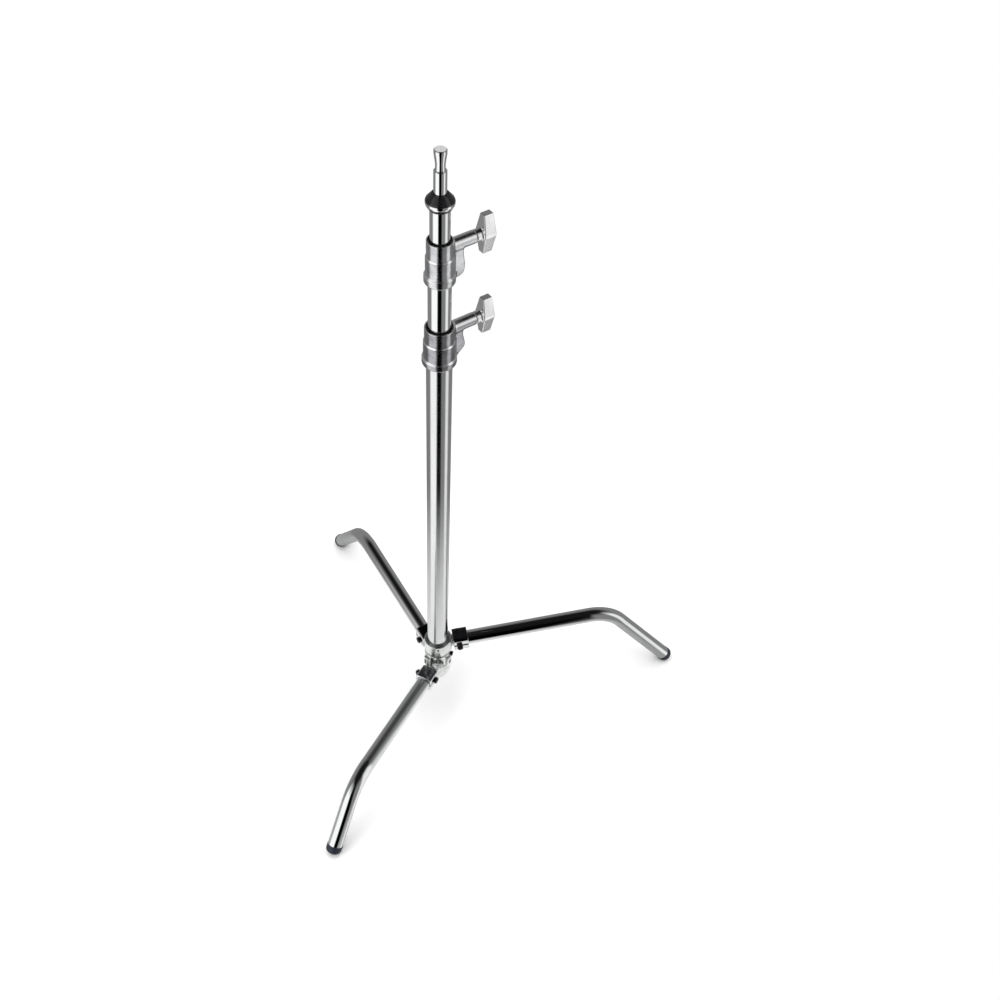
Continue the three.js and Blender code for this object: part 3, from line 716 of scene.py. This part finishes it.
def make_collar(name, body, holder):
    collar = COLLARS[name]
    height = collar["height"]
    place = radial(CLAMP_AZIMUTH, collar["bottom"])
    high = (collar["boss_end"] + 1.5, 25, height + 1.5)
    mesh = surface_of(collar_field(collar), (-25, -25, -1.5), high, 0.62)
    add_piece(f"{name}_collar_skin", mesh, holder, "cast_metal", [f"{name}_collar"], place,
              f"{name}_casting")

    bottom = collar["seat"]["top"] + 0.3 - collar["bottom"]
    top = height - 2.6
    outer, inner = collar["seat"]["outer"], collar["slider"]["outer"] + 0.3

    def bush(x, y, z):
        """A ring with a window for the brake shoe."""
        rho = np.hypot(x, y)
        ring = cut(rod_field(rho, z, outer, bottom, top, 0.4), rho - inner, 0.5)
        from_screw = np.hypot(y, z - collar["screw"] + collar["bottom"])
        return cut(ring, np.maximum(from_screw - SHOE_POCKET["radius"], -x), 0.2)

    mesh = surface_of(bush, (-outer - 1, -outer - 1, bottom - 1), (outer + 1, outer + 1, top + 1), 0.55)
    add_piece(f"{name}_bush_skin", mesh, holder, "black_nylon", [f"{name}_collar_bush"], place)

    level = radial(CLAMP_AZIMUTH, collar["screw"])
    at_knob = level @ Matrix.Translation((collar["boss_end"] * MM, 0, 0))
    knob = surface_of(t_knob_field, (-1, -11, -30), (27, 11, 30), 0.5)
    add_piece(f"{name}_t_knob_skin", knob, f"{name}_knob", "polished_casting", [f"{name}_t_knob"], at_knob)
    start = collar["slider"]["outer"] + 2.7
    end = collar["boss_end"] + T_KNOB["skirt_length"] + T_KNOB["thick"] / 2
    screw = screw_thread(start, end, SCREW_RADIUS, SCREW_PITCH)
    add_piece(f"{name}_screw_skin", screw, f"{name}_knob", "zinc_steel", [f"{name}_clamp_screw"], level)


# ---- Legs ----

class LegLine:
    """The leg's centre line: an arm along X, a round bend and a shin, by distance along it in mm."""

    def __init__(self, leg):
        rise, fall = math.radians(LEG["rise"]), math.radians(LEG["fall"])
        self.turn = rise + fall
        setback = LEG["bend_radius"] * math.tan(self.turn / 2)
        foot_drop = math.hypot(FOOT_CAP["dome"] * math.sin(fall), FOOT_CAP["radius"] * math.cos(fall))
        tube_end = foot_drop + FOOT_CAP["rim"] * math.sin(fall)
        corner_height = leg["height"] + leg["corner"] * math.tan(rise)
        self.arm_end = leg["corner"] / math.cos(rise) - setback
        self.bend = LEG["bend_radius"] * self.turn
        self.length = self.arm_end + self.bend + (corner_height - tube_end) / math.sin(fall) - setback

    def __call__(self, s):
        angle = self.turn * min(max((s - self.arm_end) / self.bend, 0), 1)
        before = min(s - self.arm_end, 0)
        after = max(s - self.arm_end - self.bend, 0)
        radius = LEG["bend_radius"]
        c, t = math.cos(angle), math.sin(angle)
        point = [self.arm_end + before + radius * t + after * c, 0, radius * (c - 1) - after * t]
        return np.array(point), np.array([0, 1, 0]), np.array([t, 0, c])

    def stations(self):
        bend = [self.arm_end + self.bend * k / 32 for k in range(33)]
        return bend


def make_leg(name):
    leg = LEGS[name]
    body = leg["body"]
    place = radial(leg["azimuth"], leg["height"], LEG["rise"])
    line = LegLine(leg)
    stations = line.stations()
    outer, inner = LEG["outer"], LEG["inner"]
    outline = [(inner, LEG["start"]), (outer - 0.4, LEG["start"]), (outer, LEG["start"] + 0.4)]
    outline += [(outer, s) for s in stations]
    outline += [(outer, line.length - 0.4), (outer - 0.4, line.length), (inner, line.length)]
    outline += [(inner, s) for s in reversed(stations)]
    add_piece(f"{name}_leg_skin", turned(outline, line, 72), body, "polished_chrome", [f"{name}_leg_tube"],
              place, "leg_chrome", upright=True)

    rim, dome, radius = FOOT_CAP["rim"], FOOT_CAP["dome"], FOOT_CAP["radius"]
    cap = [
        (0, -12), (9.6, -12), (10.2, -11.4), (10.2, 0.3), (radius - 0.5, 0.3), (radius, 0.8), (radius, rim),
    ]
    steps = 16
    for k in range(1, steps + 1):
        angle = k / steps * math.pi / 2
        cap.append((radius * math.cos(angle) if k < steps else 0, rim + dome * math.sin(angle)))
    end, across, up = line(line.length)
    at_end = place @ Matrix.Translation(Vector(end) * MM) @ Matrix.Rotation(line.turn, 4, "Y")
    add_piece(f"{name}_foot_skin", turned(cap, outwards, 72), body, "black_rubber", [f"{name}_foot_cap"],
              at_end, upright=True)

    low = (SLEEVE["start"] - 1, -SLEEVE["half"] - 1, -SLEEVE["half"] - 1)
    high = (SLEEVE["end"] + 1, SLEEVE["half"] + 1, SLEEVE["half"] + 1)
    add_piece(f"{name}_sleeve_skin", surface_of(sleeve_field, low, high, 0.5), body, "polished_chrome",
              [f"{name}_leg_sleeve"], place, "sleeve_chrome")
    make_leg_bolt(name, body, place)
    make_leg_ring(name, body)


def sleeve_field(x, y, z):
    """A square bar along X with round corners, a round bore, and a crease along each side."""
    flat = SLEEVE["half"] - SLEEVE["corner"]
    a, b = np.abs(y) - flat, np.abs(z) - flat
    inside = np.minimum(np.maximum(a, b), 0)
    section = np.hypot(np.maximum(a, 0), np.maximum(b, 0)) + inside - SLEEVE["corner"]
    length = SLEEVE["end"] - SLEEVE["start"]
    bar = slab_field(section, x - SLEEVE["start"] - length / 2, length / 2, 0.7)
    crease = np.hypot((np.abs(y) - SLEEVE["half"] - 0.7) * 0.9, z) - 1.7
    return cut(cut(bar, crease, 0.5), np.hypot(y, z) - SLEEVE["inner"], 0.4)


def hexagon(y, z, flat):
    """Distance to a hexagonal bar, by the distance between its flats."""
    a, b = np.abs(y), np.abs(z)
    return np.maximum(a * 0.5 + b * math.sqrt(0.75), a) - flat / 2


def make_leg_bolt(name, body, place):
    size = LEG_BOLT
    grip, head, nut = size["half_grip"], size["head_length"], size["nut_length"]
    flats = size["head"] * math.sqrt(3)

    def bolt(x, y, z):
        across = np.hypot(y, z)
        shank = rod_field(across, x, size["radius"], -grip - 1, grip + nut + 2, 0.5)
        top = slab_field(hexagon(y, z, flats), x + grip + head / 2, head / 2, 0.4)
        top = np.maximum(top, (across - size["head"] - 0.2 - (x + grip + head) * 1.2) / 1.5)
        return join(shank, top, 0.3)

    def nut_shape(x, y, z):
        across = np.hypot(y, z)
        shape = slab_field(hexagon(y, z, flats), x - grip - nut / 2, nut / 2, 0.4)
        far = (across - size["head"] - 0.2 - (grip + nut - x) * 1.2) / 1.5
        return cut(np.maximum(shape, far), across - size["radius"] - 0.3, 0.3)

    at_bolt = place @ Matrix.Translation((size["at"] * MM, 0, 0)) @ Matrix.Rotation(-math.pi / 2, 4, "Z")
    reach = grip + max(head, nut + 2) + 1
    for part, field, low, high in (
        ("bolt", bolt, (-reach, -7, -7), (reach, 7, 7)),
        ("nut", nut_shape, (grip - 1, -7, -7), (grip + nut + 1, 7, 7)),
    ):
        mesh = surface_of(field, low, high, 0.4)
        add_piece(f"{name}_{part}_skin", mesh, body, "blackened_steel", [f"{name}_leg_{part}"], at_bolt)


def make_leg_ring(name, body):
    leg = LEGS[name]
    half = RING["half_height"]
    rise = math.radians(LEG["rise"])

    def turned_to(x, y, azimuth):
        """Coordinates along and across a direction at that azimuth of the stand."""
        a = math.radians(azimuth - leg["azimuth"])
        return x * math.cos(a) + y * math.sin(a), -x * math.sin(a) + y * math.cos(a)

    def field(x, y, z):
        rho = np.hypot(x, y)
        tilted_x = x * math.cos(rise) + z * math.sin(rise)
        tilted_z = -x * math.sin(rise) + z * math.cos(rise)
        ring = rod_field(rho, z, RING["outer"], -half, half, 1.2)
        arm_half = (RING["arm_end"] / 2 + 2, RING["arm_width"] / 2, half)
        arm = block_field(x - RING["arm_end"] / 2, y, z, arm_half, 2.0)
        arm = -join(-arm, -rod_field(rho, z, RING["arm_end"], -half, half, 1.2), 1.5)
        shape = join(ring, arm, 2.0)
        stub = rod_field(np.hypot(y, tilted_z), tilted_x, STUB["radius"], 18.6, STUB["end"], 0.6)
        if name == "middle":
            shape = add_lock_details(shape, x, y, z, turned_to)
        if name == "upper":
            top = CORE["top"] - leg["height"]
            shape = cut(shape, rod_field(rho, z, CORE["flange"] + 0.4, top - 3.8, top + 9, 0.2), 0.4)
            along, across = turned_to(x, y, GRUB_SCREW["azimuth"])
            screw_z = z - (GRUB_SCREW["height"] - leg["height"])
            hole = np.maximum(np.hypot(across, screw_z) - GRUB_SCREW["radius"] - 0.3, -along)
            shape = cut(shape, hole, 0.4)
        shape = cut(shape, rho - RING["bore"], 0.6)
        shape = join(shape, stub, 1.0)
        bolt = np.hypot(tilted_x - LEG_BOLT["at"], tilted_z) - LEG_BOLT["radius"] - 0.3
        return cut(shape, bolt, 0.2)

    low, high = (-29, -29, -half - 1.5), (STUB["end"] + 1.5, 29, half + 4)
    mesh = surface_of(field, low, high, 0.62)
    place = radial(leg["azimuth"], leg["height"])
    add_piece(f"{name}_ring_skin", mesh, body, "cast_metal", [f"{name}_leg_ring"], place)


def add_lock_details(shape, x, y, z, turned_to):
    """The middle ring's boss for the lock screw, its two slotted ears and the stop bolt's hole."""
    level = LOCK["height"] - LEGS["middle"]["height"]
    for side in (-1, 1):
        along, across = turned_to(x, y, LOCK["azimuth"] + side * EAR["offset"])
        ear = block_field(along - (EAR["reach"] + 15) / 2, across, z,
                          ((EAR["reach"] - 15) / 2, EAR["width"] / 2, EAR["height"] / 2), 1.8)
        slot_half = (2.4, EAR["slot_width"] / 2, EAR["slot_height"] / 2)
        slot = block_field(along - EAR["reach"], across, z, slot_half, 0.7)
        shape = cut(join(shape, ear, 2.0), slot, 0.5)
    along, across = turned_to(x, y, LOCK["azimuth"])
    from_axis = np.hypot(across, z - level)
    shape = join(shape, rod_field(from_axis, along, LOCK["boss"], 15, LOCK["boss_end"], 0.8), 1.6)
    shape = cut(shape, np.maximum(from_axis - LOCK["screw"] - 0.3, 15 - along), 0.4)
    along, across = turned_to(x, y, STOP_BOLT["azimuth"])
    stop_z = z - (STOP_BOLT["height"] - LEGS["middle"]["height"])
    return cut(shape, np.maximum(np.hypot(across, stop_z) - 2.3, 18.6 - along), 0.3)


# ---- Base ----

def make_base():
    core = rounded([
        (CORE["bore"], CORE["bottom"]), (CORE["outer"], CORE["bottom"], 0.5), (CORE["outer"], 156.5),
        (CORE["flange"], 156.5, 0.4), (CORE["flange"], CORE["top"], 0.6), (CORE["bore"], CORE["top"], 0.8),
    ])
    add_piece("hub_core_skin", turned(core), "base", "zinc_steel", ["hub_core"])
    cap = rounded([
        (0, 57), (12, 57, 4), (19.6, 62.4, 6), (20, 69.1, 0.5), (17.3, 69.1), (17.3, 63.7), (0, 63.7),
    ], 8)
    add_piece("base_cap_skin", turned(cap), "base", "cast_metal", ["base_cap"])

    knob_start, knob_end, radius = LOCK["boss_end"] + 0.6, LOCK["knob_end"], LOCK["knob"]

    def knob(x, y, z):
        across = np.hypot(y, z)
        angle = np.arctan2(z, y)
        wave = 0.5 * (1 - np.cos(12 * angle)) * np.clip((across - 5) / 4, 0, 1)
        shape = rod_field(across + wave, x, radius, knob_start, knob_end, 1.6)
        dish = np.hypot(across, (x - knob_end - 9) * 1.0) - 10.2
        shape = cut(shape, dish, 0.8)
        button = rod_field(across, x, 2.4, knob_end - 4, knob_end - 0.3, 0.6)
        shape = join(shape, button, 0.4)
        bore_end = (knob_start + knob_end) / 2 + 0.3
        inside = rod_field(across, x, LOCK["screw"] + 0.3, knob_start - 5, bore_end, 0.2)
        return cut(shape, inside, 0.3)

    lock = radial(LOCK["azimuth"], LOCK["height"])
    mesh = surface_of(knob, (knob_start - 1.2, -11.5, -11.5), (knob_end + 1.2, 11.5, 11.5), 0.45)
    add_piece("base_lock_knob_skin", mesh, "lock_knob", "cast_metal", ["base_lock_knob"], lock,
              "knob_casting")
    screw = screw_thread(16.1, (knob_start + knob_end) / 2, LOCK["screw"], 1.0, 24)
    add_piece("base_lock_screw_skin", screw, "lock_knob", "zinc_steel", ["base_lock_screw"], lock)

    reach, head = STOP_BOLT["reach"], STOP_BOLT["head"]

    def stop_bolt(x, y, z):
        across = np.hypot(y, z)
        shape = rod_field(across, x, head, RING["outer"] + 0.3, reach, 0.5)
        shape = cut(shape, slab_field(hexagon(y, z, 3.6), x - reach, 2.2, 0.1), 0.2)
        return join(shape, rod_field(across, x, 2, 18.9, RING["outer"] + 1, 0.2), 0.2)

    place = radial(STOP_BOLT["azimuth"], STOP_BOLT["height"])
    mesh = surface_of(stop_bolt, (18, -5, -5), (reach + 1, 5, 5), 0.3)
    add_piece("leg_stop_bolt_skin", mesh, "base", "blackened_steel", ["leg_stop_bolt"], place)

    def grub_screw(x, y, z):
        shape = rod_field(np.hypot(y, z), x, GRUB_SCREW["radius"], 19.2, GRUB_SCREW["outer"], 0.2)
        return cut(shape, slab_field(hexagon(y, z, 1.8), x - GRUB_SCREW["outer"], 1.2, 0.05), 0.1)

    place = radial(GRUB_SCREW["azimuth"], GRUB_SCREW["height"])
    mesh = surface_of(grub_screw, (18.8, -2.4, -2.4), (GRUB_SCREW["outer"] + 0.6, 2.4, 2.4), 0.2)
    add_piece("ring_grub_screw_skin", mesh, "upper_leg", "blackened_steel", ["ring_grub_screw"], place)


# ---- CAD pieces that stay ----

def dress_cad_nodes():
    """Pieces that are hidden inside keep their CAD shape and get the finish that their slot names."""
    slots = {row["node"]: row["material_slot"] for row in frame["record"]["subparts"]}
    for name, node in frame["nodes"].items():
        node.data.materials.clear()
        node.data.materials.append(materials[slots[name]])
        node.data.shade_flat()


# ---- Camera, floor and light ----

def make_camera():
    yaw, pitch, roll = 0.083, 0.847, 0.068
    forward = Vector((math.sin(yaw) * math.cos(pitch), math.cos(yaw) * math.cos(pitch), -math.sin(pitch)))
    level = Vector((math.cos(yaw), -math.sin(yaw), 0))
    upright = level.cross(forward)
    right = math.cos(roll) * level + math.sin(roll) * upright
    up = right.cross(forward)
    data = bpy.data.cameras.new("camera")
    data.lens = 40.3
    data.sensor_width = 36
    camera = bpy.data.objects.new("camera", data)
    bpy.context.scene.collection.objects.link(camera)
    turn = Matrix((right, up, -forward)).transposed().to_4x4()
    camera.matrix_world = COLUMN @ Matrix.Translation((0, -1.10509, 1.77646)) @ turn
    bpy.context.scene.camera = camera


def make_floor():
    """A pale floor, plain white to the eye away from the stand. Chrome mirrors a round sheet in its place,
    pale by the stand and fading into the room outwards."""
    n = Nodes("floor")
    grain = n.noise(n.coordinates("Object", (1, 1, 1)), 900, 3)
    tone = n.blend(n.ramp(grain, 0.3, 0.7, 0, 1), (0.93, 0.93, 0.93), (0.95, 0.95, 0.95))
    material = n.finish(Base_Color=tone, Roughness=0.9, Specular_IOR_Level=0.1)
    seen = n.add("ShaderNodeLightPath").outputs["Is Camera Ray"]
    backdrop = n.maths("MULTIPLY", n.ramp(n.from_axis(), 0.45, 0.9, 0, 1), seen)
    white = n.add("ShaderNodeEmission", Color=(1, 1, 1, 1), Strength=1.0)
    n.surface(backdrop, n.shader, white)
    floor = add_disc("floor", 40, -0.0005, material)
    floor.visible_glossy = False

    n = Nodes("floor_sheet")
    material = n.finish(Base_Color=(0.8, 0.8, 0.8, 1), Roughness=0.9)
    n.surface(n.ramp(n.from_axis(), 0.1, FLOOR_SHEET, 0, 1), n.shader, n.add("ShaderNodeBsdfTransparent"))
    sheet = add_disc("floor_sheet", FLOOR_SHEET, 0.0, material)
    sheet.visible_camera = False
    sheet.visible_diffuse = False
    sheet.visible_shadow = False


def add_disc(name, radius, height, material):
    sides = 96
    mesh = bpy.data.meshes.new(name)
    angles = [2 * math.pi * k / sides for k in range(sides)]
    rim = [(radius * math.cos(a), radius * math.sin(a), 0) for a in angles]
    mesh.from_pydata(rim, [], [list(range(sides))])
    mesh.materials.append(material)
    disc = bpy.data.objects.new(name, mesh)
    bpy.context.scene.collection.objects.link(disc)
    disc.location = (COLUMN.translation.x, COLUMN.translation.y, height)
    return disc


# The studio that the chrome mirrors: grey walls under a dark ceiling, two upright soft boxes and the dark
# opening that the camera looks through. Bearings and widths are in degrees, 0 in front and 90 on the right.
WALL = 0.25
SOFT_BOXES = [
    {"bearing": -50, "half_width": 25, "edge": 15, "brightness": 1.2},
    {"bearing": 75, "half_width": 10, "edge": 10, "brightness": 1.0},
]
OPENING = {"bearing": 0, "half_width": 15, "edge": 10, "brightness": 0.0}
CEILING_FROM, CEILING_FULL = 25, 60


def make_room():
    """The light round the stand: a white backdrop to the eye, and the studio to everything else."""
    world = bpy.data.worlds.new("room")
    bpy.context.scene.world = world
    world.use_nodes = True
    n = Nodes("room", world)
    n.tree.nodes.clear()
    direction = n.add("ShaderNodeTexCoord").outputs["Generated"]
    x, y, z = n.add("ShaderNodeSeparateXYZ", Vector=direction).outputs
    to_degrees = 180 / math.pi
    bearing = n.maths("MULTIPLY", n.maths("ARCTAN2", x, n.maths("MULTIPLY", y, -1.0)), to_degrees)
    elevation = n.maths("MULTIPLY", n.maths("ARCSINE", z, 0.0), to_degrees)
    room = (WALL, WALL, WALL)
    for panel in (*SOFT_BOXES, OPENING):
        away = n.maths("ABSOLUTE", n.maths("SUBTRACT", bearing, panel["bearing"]), 0)
        inside = n.ramp(away, panel["half_width"], panel["half_width"] + panel["edge"], 1, 0)
        shade = panel["brightness"]
        room = n.blend(inside, room, (shade, shade, shade))
    room = n.blend(n.ramp(elevation, CEILING_FROM, CEILING_FULL, 0, 1), room, (0.01, 0.01, 0.01))
    mirrored = n.add("ShaderNodeBackground", Color=room, Strength=1.0)
    seen = n.add("ShaderNodeBackground", Color=(1, 1, 1, 1))
    mixed = n.add("ShaderNodeMixShader", Fac=n.add("ShaderNodeLightPath").outputs["Is Camera Ray"])
    n.tree.links.new(mirrored.outputs[0], mixed.inputs[1])
    n.tree.links.new(seen.outputs[0], mixed.inputs[2])
    n.add("ShaderNodeOutputWorld", Surface=mixed.outputs[0])


def make_light(name, at, size, power):
    """A soft light that no reflection shows; the chrome mirrors the room instead."""
    data = bpy.data.lights.new(name, "AREA")
    data.shape = "RECTANGLE"
    data.size, data.size_y = size
    data.energy = power
    light = bpy.data.objects.new(name, data)
    bpy.context.scene.collection.objects.link(light)
    target = COLUMN.translation + Vector((0, 0, 0.4))
    light.location = COLUMN.translation + Vector(at)
    light.rotation_mode = "QUATERNION"
    light.rotation_quaternion = (target - light.location).to_track_quat("-Z", "Y")
    light.visible_glossy = False
    light.visible_camera = False


def make_lights():
    make_light("overhead_soft", (0, 0, 4.2), (6, 6), 300)
    make_light("left_soft", (-2.8, -1.6, 2.4), (2.4, 2.4), 25)


# ---- Build ----

dress_cad_nodes()
make_column()
make_stud_and_bumper()
make_collar("lower", "lower_knob", "column")
make_collar("upper", "upper_knob", "riser_1")
for leg_name in LEGS:
    make_leg(leg_name)
make_base()
make_camera()
make_floor()
make_room()
make_lights()
bpy.context.scene.view_settings.view_transform = "Standard"
